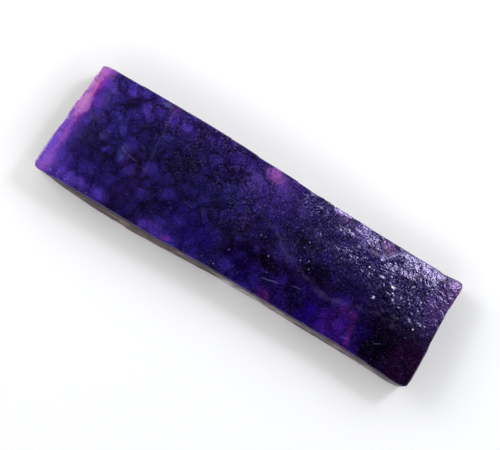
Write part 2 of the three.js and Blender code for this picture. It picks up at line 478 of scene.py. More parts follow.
class Sparkle(Effect):
    """Tiny facets, each tilted its own way, with a pale speck or a whole pale flake on some."""

    name = "sparkle"
    takes = Effect.takes | {
        "Size": ("Float", 0.4),
        "Tilt": ("Float", 0.3),
        "Rarity": ("Float", 0.9),
    }
    gives = {"Normal": "Vector", "Speck": "Float", "Flake": "Float"}

    def build(self, bench: Bench, given: Sockets) -> dict[str, Socket]:
        """Builds the facets from cells that each hold a random colour.

        Args:
            bench: where the nodes go.
            given: the group's inputs, by name.

        Returns:
            The facets' normal, and the masks of the specks and of the flakes.
        """
        scale = bench.math("DIVIDE", 1.0, given["Size"])
        cell = bench.cells(bench.vector("SCALE", given["Place"], scale=scale))
        surface = bench.node("NewGeometry").outputs["Normal"]
        tilted = bench.vector("ADD", surface, bench.lean(cell["Color"], given["Tilt"]))
        chance = bench.node("SeparateColor", cell["Color"]).outputs[0]
        chosen = bench.step(chance, given["Rarity"], 1.0)
        return {
            "Normal": bench.vector("NORMALIZE", tilted),
            "Speck": bench.times(chosen, bench.fade(cell["Distance"], 0.1, 0.45)),
            "Flake": bench.times(chosen, bench.fade(cell["Distance"], 0.35, 0.75, 0.3)),
        }


class StoneBody(Effect):
    """The stone's own colour right through: clouds of navy, indigo and near black."""

    name = "stone_body"
    gives = {"Colour": "Color"}
    sizes: ClassVar[tuple[float, float, float]] = (9.0, 3.5, 0.8)
    navy: ClassVar[Colour] = tone(20, 14, 54)
    blue: ClassVar[Colour] = tone(34, 23, 94)
    indigo: ClassVar[Colour] = tone(46, 32, 114)
    dark: ClassVar[Colour] = tone(12, 9, 27)
    darkest: ClassVar[Colour] = tone(10, 8, 22)

    def build(self, bench: Bench, given: Sockets) -> dict[str, Socket]:
        """Builds the clouds from three sizes of noise.

        Args:
            bench: where the nodes go.
            given: the group's inputs, by name.

        Returns:
            The stone's colour.
        """
        broad, middle, fine = (bench.clouds(given["Place"], size, detail)[0]
                               for size, detail in zip(self.sizes, (2.0, 3.0, 2.0)))
        colour = bench.mix(bench.step(broad, 0.36, 0.66), self.navy, self.blue)
        colour = bench.mix(bench.step(middle, 0.5, 0.78), colour, self.indigo)
        colour = bench.mix(bench.step(middle, 0.22, 0.46, 0.75, 0.0), colour, self.dark)
        return {"Colour": bench.mix(bench.step(fine, 0.3, 0.75, 0.25, 0.0), colour,
                                    self.darkest)}


@dataclass(frozen=True)
class Patch:
    """A patch of colour on the worked face, in millimetres from the slab's middle."""

    x: float
    y: float
    reach_x: float
    reach_y: float
    strength: float
    soft: float = 0.45
    turn: float = 0.0
    ragged: float = 0.7
    colour: Colour = WHITE


@dataclass(frozen=True)
class Line:
    """A hairline on the worked face, in millimetres from the slab's middle."""

    start: tuple[float, float]
    end: tuple[float, float]
    colour: Colour
    width: float
    strength: float


def dabs(*rows: Row, **shared: float) -> tuple[Patch, ...]:
    """Patches from rows of a screen colour and then the patch's own values, in its order."""
    return tuple(Patch(*row, colour=tone(*tint), **shared) for tint, *row in rows)


def grains(tint: Tint, *spots: tuple[float, float, float]) -> list[Row]:
    """Rows for round grains of one screen colour, each given by its x, y and radius."""
    return [(tint, x, y, radius, 0.9 * radius, 0.7, 0.4, 0.0, 0.6) for x, y, radius in spots]


NEAR_BLACK = (7, 5, 14)
DEEP_BLUE = (20, 9, 86)
SATURATED_BLUE = (22, 3, 104)
BROWN_RED = (34, 12, 42)
ROSE = (136, 84, 162)
LILAC = (112, 76, 176)

# Rows: screen colour, x, y, reach along x and y, strength, softness, turn, raggedness
PATCHES = dabs(
    # left part: a soft violet glow along the band
    ((96, 76, 168), -42.8, 5.6, 1.9, 8.6, 0.3, 0.7),
    # left part: soft violet grains along the band and the upper side
    *grains((66, 48, 146), (-42.8, 12.7, 1.3), (-42.3, 9.9, 1.0), (-44.0, 8.6, 1.0),
            (-33.9, 10.5, 1.5), (-32.8, 13.3, 1.2), (-32.5, 8.8, 1.1), (-23.8, 11.5, 1.4)),
    *grains((54, 40, 132), (-38.6, 12.3, 1.8), (-30.4, 11.7, 1.9), (-26.8, 12.0, 2.1),
            (-44.2, 0.2, 1.4), (-42.9, 4.1, 1.2), (-35.6, 12.9, 1.0), (3.3, 10.4, 1.7)),
    *grains((38, 34, 104), (-37.8, 6.0, 1.9), (-32.5, 5.3, 1.5), (-36.0, 2.8, 1.5),
            (-34.8, -0.8, 1.6), (-42.0, 0.3, 1.1), (-18.4, 7.6, 1.5), (-14.8, 8.4, 1.3),
            (-7.9, 3.9, 2.3), (-26.2, 6.4, 1.7), (-28.4, 2.0, 1.4)),
    ((52, 50, 122), -33.4, -1.2, 1.7, 2.0, 0.75, 0.3, 0.0, 0.6),
    ((70, 48, 148), -40.5, -12.6, 5.0, 1.6, 0.8),
    ((58, 38, 132), -44.6, -10.8, 2.6, 3.4, 0.7),
    ((54, 38, 128), -34.2, -12.6, 3.2, 1.6, 0.7),
    ((74, 46, 150), -18.4, -12.6, 3.4, 1.3, 0.8),
    ((112, 40, 132), -15.4, -13.0, 1.1, 0.7, 0.5),
    ((112, 60, 116), -28.4, 13.4, 1.2, 1.0, 0.4, 0.8),
    ((104, 104, 158), -30.4, 13.4, 1.1, 0.6, 0.5),
    ((74, 60, 130), -39.2, 0.2, 1.2, 1.3, 0.45),
    ((90, 40, 116), -29.2, -4.6, 0.7, 0.5, 0.25),
    ((96, 48, 116), -27.2, -2.2, 0.6, 0.5, 0.25),
    # left part: dark, brownish and clear blue zones
    ((20, 14, 44), -39.4, 9.2, 2.0, 1.5, 0.8),
    (BROWN_RED, -30.6, -1.8, 2.2, 3.2, 0.35),
    ((34, 16, 60), -27.6, -7.6, 3.0, 3.4, 0.42),
    ((14, 12, 34), -20.4, 2.6, 3.6, 5.4, 0.75),
    ((14, 11, 24), -23.6, -7.4, 1.9, 3.8, 0.62, 0.45, -0.3),
    (DEEP_BLUE, -15.6, -5.0, 4.0, 5.0, 0.55),
    (DEEP_BLUE, -9.6, -8.8, 4.6, 3.6, 0.7),
    # middle: the rose spot with its violet halo, dusty and black zones
    ((62, 40, 124), 1.4, 9.4, 6.0, 4.2, 0.55),
    ((72, 56, 142), -4.6, 8.6, 2.4, 3.4, 0.5),
    ((80, 50, 142), 1.2, 12.2, 4.0, 1.8, 0.6),
    ((156, 92, 178), -1.3, 12.6, 2.0, 1.9, 0.7, 0.4, 0.0, 0.5),
    (BROWN_RED, -2.2, -1.0, 1.8, 3.4, 0.5),
    (DEEP_BLUE, 4.2, -10.2, 5.6, 2.8, 0.7),
    ((12, 4, 36), 22.0, -6.6, 24.0, 8.4, 0.34, 0.9),
    ((14, 6, 34), 10.0, -3.6, 11.0, 6.0, 0.5, 0.8),
    ((14, 10, 40), 26.0, 3.4, 12.0, 4.0, 0.55, 0.8),
    ((30, 8, 40), 3.8, -3.8, 1.6, 1.3, 0.75),
    ((9, 4, 12), 6.4, -5.8, 3.4, 2.0, 0.97, 0.5, 0.0, 0.4),
    ((14, 6, 34), 1.8, -6.2, 3.2, 2.2, 0.7),
    ((50, 48, 100), 9.4, -1.6, 3.4, 2.2, 0.62),
    ((16, 5, 22), 13.6, 2.9, 2.6, 2.4, 0.8),
    ((72, 34, 112), 9.4, -12.2, 1.8, 1.5, 0.6, 0.45, -0.6),
    ((112, 44, 112), 11.0, -12.6, 1.5, 0.6, 0.45, 0.45, -0.9, 0.4),
    (NEAR_BLACK, 17.8, -1.8, 3.6, 2.4, 0.92),
    ((7, 3, 20), 16.2, -8.8, 2.4, 3.0, 0.9, 0.45, 0.0, 0.5),
    ((26, 6, 44), 19.8, -3.0, 2.6, 1.3, 0.85, 0.3, 0.0, 0.4),
    # right part, lower band: clear blue, the violet patch, black and dark magenta
    (SATURATED_BLUE, 21.4, -10.8, 3.0, 2.8, 0.75),
    ((54, 26, 114), 27.4, -9.8, 3.8, 4.4, 0.85),
    ((80, 40, 106), 28.4, -6.0, 2.2, 1.5, 0.55),
    ((96, 44, 116), 31.2, -9.8, 0.8, 4.2, 0.45, 0.45, 0.2),
    ((20, 5, 72), 33.8, -8.4, 2.2, 3.4, 0.8),
    ((22, 10, 34), 39.4, -1.2, 7.4, 2.6, 0.7, 0.6),
    ((5, 2, 9), 38.4, -4.2, 5.8, 3.4, 0.96),
    ((5, 1, 12), 37.6, -10.8, 3.4, 3.8, 0.95),
    ((10, 3, 20), 39.7, -5.6, 2.3, 3.2, 0.85, 0.45, 0.0, 0.5),
    ((14, 4, 24), 40.8, -10.0, 1.6, 4.6, 0.92, 0.4, 0.0, 0.4),
    ((28, 6, 28), 45.6, -9.6, 4.3, 7.4, 0.97, 0.25, 0.0, 0.3),
    # right part, upper side: rose and magenta tints
    (ROSE, 17.0, 13.0, 2.0, 1.3, 0.65),
    (LILAC, 22.4, 11.6, 2.4, 1.8, 0.5),
    ((132, 84, 150), 29.6, 12.3, 2.0, 1.2, 0.65),
    ((92, 50, 122), 46.6, 7.6, 2.6, 7.0, 0.6, 0.8),
    ((128, 40, 140), 47.8, 12.6, 1.6, 1.8, 0.7, 0.6),
    ((122, 24, 96), 49.2, 7.0, 0.9, 8.0, 0.8, 0.5, 0.0, 0.3),
    # a near-black patch painted as the shade in the hollow below the knob
    (NEAR_BLACK, 35.0, 2.4, 1.6, 1.4, 0.8),
    ((24, 16, 84), 22.0, 7.6, 4.0, 2.6, 0.6),
)

# Tints on the pale band itself
BAND_PATCHES = dabs(
    ((186, 124, 196), -46.8, 3.8, 1.6, 2.2, 0.55),
    ((158, 96, 190), -45.8, 12.8, 1.6, 1.5, 0.6, 0.9, 0.0, 1.2),
    ((94, 54, 172), -44.5, 10.4, 1.2, 1.2, 0.6, 0.4, 0.0, 0.5),
    ((138, 44, 168), -45.5, 9.4, 0.5, 1.4, 0.4),
    ((92, 46, 164), -44.3, 5.6, 1.1, 1.3, 0.6, 0.4, 0.0, 0.5),
    ((92, 66, 190), -47.8, -7.9, 1.3, 1.6, 0.5, 0.8, 0.0, 1.4),
    ((134, 90, 190), -46.9, -11.6, 1.5, 1.8, 0.4, 0.9, 0.0, 1.4),
    ((120, 68, 150), -1.3, 12.6, 2.0, 1.9, 0.42, 0.6, 0.0, 0.8),
)

# Where the broken skin and the lower left edge carry frosted strokes, partly painted sheen, over
# and above the even painted sheen
FROST_AND_SHEEN = (
    Patch(10.6, 11.4, 5.0, 2.4, 0.42),
    Patch(-42.4, -13.2, 7.4, 1.0, 0.3, 0.8),
    Patch(-48.4, 7.6, 0.5, 5.4, 0.35),
    Patch(17.4, 12.6, 3.0, 1.5, 0.4),
    Patch(24.6, 11.6, 3.2, 1.7, 0.72),
    Patch(31.2, 10.6, 3.9, 1.0, 0.74, 0.45, 0.75),
    Patch(38.4, 11.8, 5.6, 2.2, 0.76),
    Patch(39.8, 7.0, 4.6, 2.8, 0.42),
    Patch(43.0, 2.6, 3.6, 2.6, 0.32),
)

# Where the broken skin stays bare of frost and painted sheen: a dark groove, a hollow and two
# clear zones
BARE = (
    Patch(41.0, 9.9, 4.4, 0.6, 0.9, 0.45, 0.48),
    Patch(34.9, 2.9, 1.8, 1.3, 0.9),
    Patch(26.4, 7.8, 3.6, 1.4, 0.7),
    Patch(48.6, 8.0, 1.4, 8.0, 0.7),
)

# Painted glints: the brightest highlights as small pale spots of colour, most of them on the
# broken skin
PAINTED_GLINTS = dabs(
    ((206, 200, 236), 31.4, 5.2, 0.62, 0.15, 0.7),
    ((240, 236, 250), 34.75, 4.5, 0.44, 0.26, 0.95),
    ((206, 200, 236), 35.2, 4.2, 0.16, 0.2, 0.6),
    ((220, 218, 242), 33.4, 6.5, 0.2, 0.16, 0.7),
    ((236, 234, 250), 27.8, 5.8, 0.2, 0.17, 0.8),
    ((196, 196, 228), 31.9, -0.1, 0.42, 0.13, 0.6, 0.45, 0.3),
    ((226, 224, 246), 24.3, 6.2, 0.19, 0.15, 0.65),
    ((180, 178, 226), 26.7, 4.1, 0.45, 0.13, 0.6, 0.45, -0.3),
    ((206, 204, 236), 25.9, 7.1, 0.17, 0.15, 0.6),
    ((226, 220, 246), 29.4, 8.6, 0.25, 0.19, 0.65),
    ((170, 172, 204), 14.4, 6.3, 0.4, 0.12, 0.55, 0.45, -0.6),
    ((180, 178, 220), 13.3, -1.3, 0.15, 0.14, 0.65),
    ((190, 188, 218), 39.0, 7.2, 0.34, 0.2, 0.45, 0.45, 0.6),
    ((170, 168, 200), 41.5, 1.5, 0.3, 0.18, 0.4, 0.45, -0.5),
    ((230, 228, 246), 43.4, -1.5, 0.2, 0.16, 0.75),
    ((190, 188, 220), 6.6, -4.3, 0.14, 0.13, 0.5),
    ((160, 158, 200), -1.8, -7.7, 0.13, 0.12, 0.42),
    ((180, 178, 220), -3.2, -12.2, 0.13, 0.12, 0.42),
    ((140, 138, 180), 8.0, -7.7, 0.13, 0.12, 0.45),
    ((160, 158, 196), 2.8, -1.1, 0.15, 0.13, 0.5),
    ((190, 188, 222), 15.1, -0.5, 0.14, 0.13, 0.42),
    ((170, 168, 210), 16.0, -2.1, 0.15, 0.13, 0.5),
    ragged=0.3,
)

# Where the stone is deeper in colour than its grains and specks leave it: each tints by its colour
SHADES = (
    Patch(27.5, -8.0, 26.0, 9.4, 0.95, 0.3, colour=(0.58, 0.3, 0.72, 1.0)),
    Patch(1.5, -7.2, 4.6, 3.0, 0.8, colour=(0.42, 0.25, 0.5, 1.0)),
    Patch(-17.0, -0.6, 9.6, 6.4, 0.8, colour=(0.62, 0.64, 0.58, 1.0)),
    Patch(-29.0, 3.6, 4.4, 4.4, 0.85, colour=(0.74, 0.76, 0.7, 1.0)),
    Patch(-12.8, 6.6, 4.4, 2.6, 0.85, colour=(0.7, 0.64, 0.68, 1.0)),
    Patch(-12.8, -11.6, 4.4, 2.0, 0.85, colour=(0.72, 0.7, 0.8, 1.0)),
    Patch(3.3, -0.2, 4.4, 4.4, 0.85, colour=(0.76, 0.68, 0.76, 1.0)),
    Patch(6.6, -5.7, 2.8, 1.8, 0.85, 0.45, 0.0, 0.5, colour=(0.3, 0.24, 0.24, 1.0)),
    Patch(18.7, -2.0, 3.0, 1.8, 0.85, 0.45, 0.0, 0.4, colour=(0.4, 0.24, 0.34, 1.0)),
    Patch(16.0, -8.8, 1.9, 2.4, 0.8, 0.45, 0.0, 0.5, colour=(0.36, 0.32, 0.34, 1.0)),
    Patch(38.6, -8.8, 3.6, 5.4, 0.85, 0.45, 0.0, 0.4, colour=(0.5, 0.36, 0.36, 1.0)),
)

# Rows: start, end, screen colour, width, strength
LINE_ROWS = (
    # the pale vein that crosses the left part
    ((-28.5, 13.8), (-28.3, 8.6), (104, 72, 130), 0.4, 0.32),
    ((-28.4, 11.6), (-27.7, 2.2), (66, 66, 116), 0.34, 0.3),
    ((-27.8, 4.6), (-26.9, -3.6), (66, 62, 112), 0.34, 0.26),
    # dark cracks between the grains, down to the lower side
    ((-36.9, -6.6), (-35.1, -13.4), (12, 9, 20), 0.32, 0.7),
    ((-21.4, -2.4), (-23.8, -7.4), (12, 10, 20), 0.34, 0.6),
    ((-23.6, -6.4), (-24.8, -13.6), (10, 8, 18), 0.36, 0.7),
    # scratches in the polish
    ((-34.5, -0.2), (-32.6, -1.2), (118, 106, 160), 0.26, 0.36),
    ((-32.8, -1.2), (-29.6, -1.4), (92, 74, 128), 0.26, 0.34),
    ((7.4, -9.4), (12.0, -8.3), (116, 114, 176), 0.22, 0.3),
    ((14.4, -7.4), (17.0, -6.8), (106, 106, 166), 0.22, 0.24),
    ((36.9, -9.0), (38.8, -8.1), (120, 118, 176), 0.24, 0.17),
    ((29.8, -11.6), (31.7, -11.1), (96, 88, 168), 0.26, 0.36),
    ((-16.4, -3.7), (-13.4, -3.9), (70, 70, 122), 0.26, 0.34),
    # the dark red crack below the upper side
    ((28.8, 13.2), (31.2, 10.0), (84, 18, 62), 0.5, 0.8),
)
LINES = tuple(Line(start, end, tone(*tint), *rest) for start, end, tint, *rest in LINE_ROWS)

# The greyish vein where the ground face meets the broken skin, as (x, y), left to right
LEDGE_VEIN = ((-2.0, 3.6), (4.5, 2.0), (10.0, -1.8), (17.5, -4.4), (23.8, -5.4), (27.6, -4.2),
              (31.5, -3.3), (42.7, -3.1), (49.0, -3.7))


class StoneBench(Bench):
    """A bench for one of the stone's materials, with the place on the slab in millimetres."""

    face_height: ClassVar[float] = 3.5
    patch_depth: ClassVar[float] = 14.0

    def __init__(self, tree: bpy.types.NodeTree) -> None:
        """Takes the material's tree and adds the place and its x, y and z."""
        super().__init__(tree)
        coordinates = self.node("TexCoord").outputs["Object"]
        self.place = self.vector("SCALE", coordinates, scale=1 / MM)
        self.x, self.y, self.z = self.node("SeparateXYZ", self.place).outputs

    def mask(self, patch: Patch) -> Value:
        """A patch's mask, scaled to its strength."""
        oval = self.group(SoftPatch, Place=self.place, Centre=(patch.x, patch.y, self.face_height),
                          Reach=(patch.reach_x, patch.reach_y, self.patch_depth),
                          Turn=patch.turn, Soft=patch.soft, Ragged=patch.ragged)
        return self.times(oval["Mask"], patch.strength)

    def lay(self, colour: Value, patches: tuple[Patch, ...], blend: str = "MIX") -> Value:
        """Lays patches over a colour."""
        for patch in patches:
            colour = self.mix(self.mask(patch), colour, patch.colour, blend)
        return colour

    def draw(self, colour: Value, lines: tuple[Line, ...]) -> Value:
        """Draws hairlines over a colour."""
        for line in lines:
            hair = self.group(FineLine, Place=self.place, From=(*line.start, 0.0),
                              To=(*line.end, 0.0), Width=line.width)
            colour = self.mix(self.times(hair["Mask"], line.strength), colour, line.colour)
        return colour

    def strew(self, colour: Value, tint: Value, strength: Value, size: float, rarity: float,
              look: str = "Speck") -> Socket:
        """Strews specks over a colour.

        Args:
            colour: what they lie on.
            tint: their own colour.
            strength: how strong they are from place to place.
            size: their size in millimetres.
            rarity: how rare they are, up to 1.
            look: which of the sparkle's masks they take.

        Returns:
            The new colour.
        """
        specks = self.group(Sparkle, Place=self.place, Size=size, Rarity=rarity)[look]
        return self.mix(self.times(specks, strength), colour, tint)


@dataclass(frozen=True)
class Band:
    """The pale band along the left end, by the distance in from the edge in millimetres."""

    edge_x: float = -48.45
    lean: float = 0.03
    reach: float = 6.0
    turn_y: float = 0.6
    turn_reach: float = 2.5
    fibre_stretch: tuple[float, float, float] = (2.0, 0.5, 0.3)
    fibre_colour: Colour = tone(214, 164, 208)
    mottle_dark: Colour = (0.66, 0.6, 0.7, 1.0)
    mottle_light: Colour = (1.3, 1.3, 1.2, 1.0)
    rose: Stops = (
        (0.0, (142, 84, 154), 1.0),
        (0.5, (164, 104, 174), 1.0),
        (1.4, (162, 98, 174), 1.0),
        (1.85, (168, 88, 156), 1.0),
        (2.3, (122, 44, 148), 0.9),
        (3.0, (90, 40, 150), 0.65),
        (3.9, (68, 46, 136), 0.45),
        (5.0, (58, 44, 122), 0.25),
        (6.0, (54, 42, 116), 0.0),
    )
    lilac: Stops = (
        (0.0, (100, 64, 158), 1.0),
        (0.6, (110, 74, 184), 1.0),
        (1.3, (112, 68, 178), 0.95),
        (1.9, (134, 74, 172), 0.9),
        (2.6, (98, 58, 164), 0.8),
        (3.6, (68, 48, 142), 0.5),
        (4.8, (58, 44, 124), 0.3),
        (5.9, (54, 42, 116), 0.0),
    )

    def ramps(self, bench: Bench, share: Value, stops: Stops) -> tuple[Socket, Socket]:
        """Makes the band's colour and its strength.

        Args:
            bench: where the nodes go.
            share: the distance in from the edge, as a share of the band's reach.
            stops: distance, screen colour and strength of each stop.

        Returns:
            The colour and the strength.
        """
        tints = bench.ramp(share, [(at / self.reach, tone(*tint)) for at, tint, _ in stops])
        greys = [(at / self.reach, (strength,) * 3 + (1.0,)) for at, _, strength in stops]
        return tints, bench.ramp(share, greys)

    def lay(self, bench: StoneBench, colour: Value) -> Socket:
        """Lays the band over the left end: rose at its upper half, lilac at its lower half.

        Args:
            bench: where the nodes go.
            colour: what it lies on.

        Returns:
            The new colour.
        """
        ripple, _ = bench.clouds(bench.place, 1.8)
        fine, _ = bench.clouds(bench.place, 0.45, detail=2.0)
        edge = bench.plus(bench.times(bench.y, self.lean), self.edge_x)
        depth = bench.plus(bench.minus(bench.x, edge), bench.sway(ripple, 0.4),
                           bench.sway(fine, 0.12))
        share = bench.math("DIVIDE", depth, self.reach, clamp=True)
        upper, upper_strength = self.ramps(bench, share, self.rose)
        lower, lower_strength = self.ramps(bench, share, self.lilac)
        high = bench.step(bench.plus(bench.y, bench.sway(ripple, 1.5)),
                          self.turn_y - self.turn_reach, self.turn_y + self.turn_reach)
        fibres, _ = bench.clouds(bench.place, stretch=self.fibre_stretch)
        pale = bench.times(bench.step(fibres, 0.45, 0.75), bench.step(high, 0.0, 1.0, 0.1, 0.35),
                           bench.fade(share, 0.24, 0.34))
        band = bench.mix(pale, bench.mix(high, lower, upper), self.fibre_colour)
        mottle, _ = bench.clouds(bench.place, 0.7, detail=4.0, roughness=0.7)
        shade = bench.mix(bench.vary(mottle), self.mottle_dark, self.mottle_light)
        band = bench.mix(1.0, band, shade, "MULTIPLY")
        return bench.mix(bench.mix(high, lower_strength, upper_strength), colour, band)


@dataclass(frozen=True)
class LedgeVein:
    """The broken, greyish vein along the ledge."""

    colour: Colour = tone(74, 64, 108)
    curve_depth: float = 20.0
    width: float = 0.9
    sway: float = 0.8
    start: Span = (-1.0, 3.0)
    end: Span = (36.0, 44.0)
    end_share: float = 0.3

    def above(self, bench: StoneBench) -> Socket:
        """How far above the ledge a place lies on the face, in millimetres."""
        left, right = LEDGE_VEIN[0][0], LEDGE_VEIN[-1][0]
        curve = bench.node("FloatCurve")
        points = curve.mapping.curves[0].points
        while len(points) < len(LEDGE_VEIN):
            points.new(MIDDLE, MIDDLE)
        for point, (at, height) in zip(points, LEDGE_VEIN):
            point.location = ((at - left) / (right - left), MIDDLE + height / self.curve_depth)
        curve.mapping.update()
        bench.feed(curve.inputs["Value"],
                   bench.math("DIVIDE", bench.minus(bench.x, left), right - left, clamp=True))
        height = bench.times(bench.minus(curve.outputs[0], MIDDLE), self.curve_depth)
        return bench.minus(bench.y, height)

    def lay(self, bench: StoneBench, above: Value, colour: Value) -> Socket:
        """Draws the vein over a colour.

        Args:
            bench: where the nodes go.
            above: how far above the ledge a place lies.
            colour: what the vein lies on.

        Returns:
            The new colour.
        """
        _, shake = bench.clouds(bench.place, 1.8)
        wander = bench.node("SeparateColor", shake).outputs[0]
        gap = bench.math("ABSOLUTE", bench.plus(above, bench.sway(wander, self.sway)))
        patchy, _ = bench.clouds(bench.place, 2.6, detail=2.0)
        mask = bench.times(bench.fade(gap, 0.0, self.width),
                           bench.step(patchy, 0.35, 0.65, 0.08, 0.34),
                           bench.step(bench.x, *self.start),
                           bench.fade(bench.x, *self.end, self.end_share))
        return bench.mix(mask, colour, self.colour)


@dataclass(frozen=True)
class FrostAndSheen:
    """Fine lavender strokes on the broken skin, partly frost and partly painted sheen, thickest
    along its upper edge where the light falls, and dark pits of painted shade.
    """

    lean: float = 0.25
    # even and bloom: the base cover and the colour of dim strokes of painted sheen
    even: float = 0.42
    bloom: Colour = tone(92, 84, 146)
    dim_sheen_strength: float = 0.8
    stroke_size: float = 0.46
    stroke_stretch: tuple[float, float, float] = (0.85, 1.25, 1.0)
    violet_stroke: Colour = tone(168, 140, 200)
    blue_stroke: Colour = tone(156, 148, 204)
    # pit: dark specks painted as the shade in the skin's pits
    pit_shade: Colour = tone(10, 7, 26)
    pit_shade_strength: float = 0.74

    def cover(self, bench: StoneBench, slant: Value) -> Value:
        """How thick the frost and its painted sheen lie at a place, by its slanting height on the
        face.
        """
        cover = bench.times(bench.step(slant, 5.0, 21.0, 0.0, self.even),
                            bench.step(bench.x, 2.0, 24.0))
        for patch in FROST_AND_SHEEN:
            cover = bench.math("MAXIMUM", cover, bench.mask(patch))
        for patch in BARE:
            cover = bench.times(cover, bench.minus(1.0, bench.mask(patch)))
        return cover

    def lay(self, bench: StoneBench, colour: Value) -> Socket:
        """Lays the frost with its painted sheen and painted shade over a colour.

        Args:
            bench: where the nodes go.
            colour: what it lies on.

        Returns:
            The new colour.
        """
        slant = bench.plus(bench.y, bench.times(bench.x, self.lean))
        cover = self.cover(bench, slant)
        fine, _ = bench.clouds(bench.place, 0.4, detail=2.0, roughness=0.6, swirl=0.6)
        patchy, _ = bench.clouds(bench.place, 2.4)
        # dim strokes of painted sheen, stronger towards the skin's upper edge
        dim_sheen = bench.times(bench.step(slant, 6.0, 16.0, 0.1), bench.step(bench.x, -8.0, 14.0),
                          bench.step(patchy, 0.34, 0.62, 0.3), self.dim_sheen_strength)
        colour = bench.mix(bench.times(bench.step(fine, 0.52, 0.62), dim_sheen), colour, self.bloom)
        # pale strokes, partly frost and partly painted sheen, thickest where the cover is
        strokes, tint = bench.clouds(bench.place, self.stroke_size, detail=2.0, roughness=0.6,
                                     swirl=0.8, stretch=self.stroke_stretch)
        least = bench.minus(0.69, bench.times(cover, 0.26))
        mask = bench.times(bench.step(bench.minus(strokes, least), 0.0, 0.1),
                           bench.step(cover, 0.0, 0.8, 0.45, 0.95))
        hue = bench.node("SeparateColor", tint).outputs[0]
        pale = bench.mix(bench.step(hue, 0.4, 0.6), self.violet_stroke, self.blue_stroke)
        colour = bench.mix(mask, colour, pale)
        # dark specks painted as the shade in the skin's pits, on the skin's upper part
        pit_shades = bench.times(bench.step(fine, 0.47, 0.38), bench.step(slant, 0.0, 9.0),
                           bench.step(bench.x, -4.0, 14.0), self.pit_shade_strength)
        return bench.mix(pit_shades, colour, self.pit_shade)


@dataclass(frozen=True)
class Finish:
    """What every finish of the stone has: a name and the stone's refraction."""

    name: ClassVar[str] = "finish"
    refraction: float = 1.69

    def material(self) -> bpy.types.Material:
        """Makes the material.

        Returns:
            The new material.
        """
        made = bpy.data.materials.new(self.name)
        made.use_nodes = True
        sockets = made.node_tree.nodes["Principled BSDF"].inputs
        sockets["IOR"].default_value = self.refraction
        bench = StoneBench(made.node_tree)
        for socket, value in self.looks(bench).items():
            bench.feed(sockets[socket], value)
        return made

    def looks(self, bench: StoneBench) -> dict[str, Value]:
        """Builds the finish.

        Args:
            bench: where the nodes go.

        Returns:
            What the shader's inputs are fed with, by name.
        """
        raise NotImplementedError


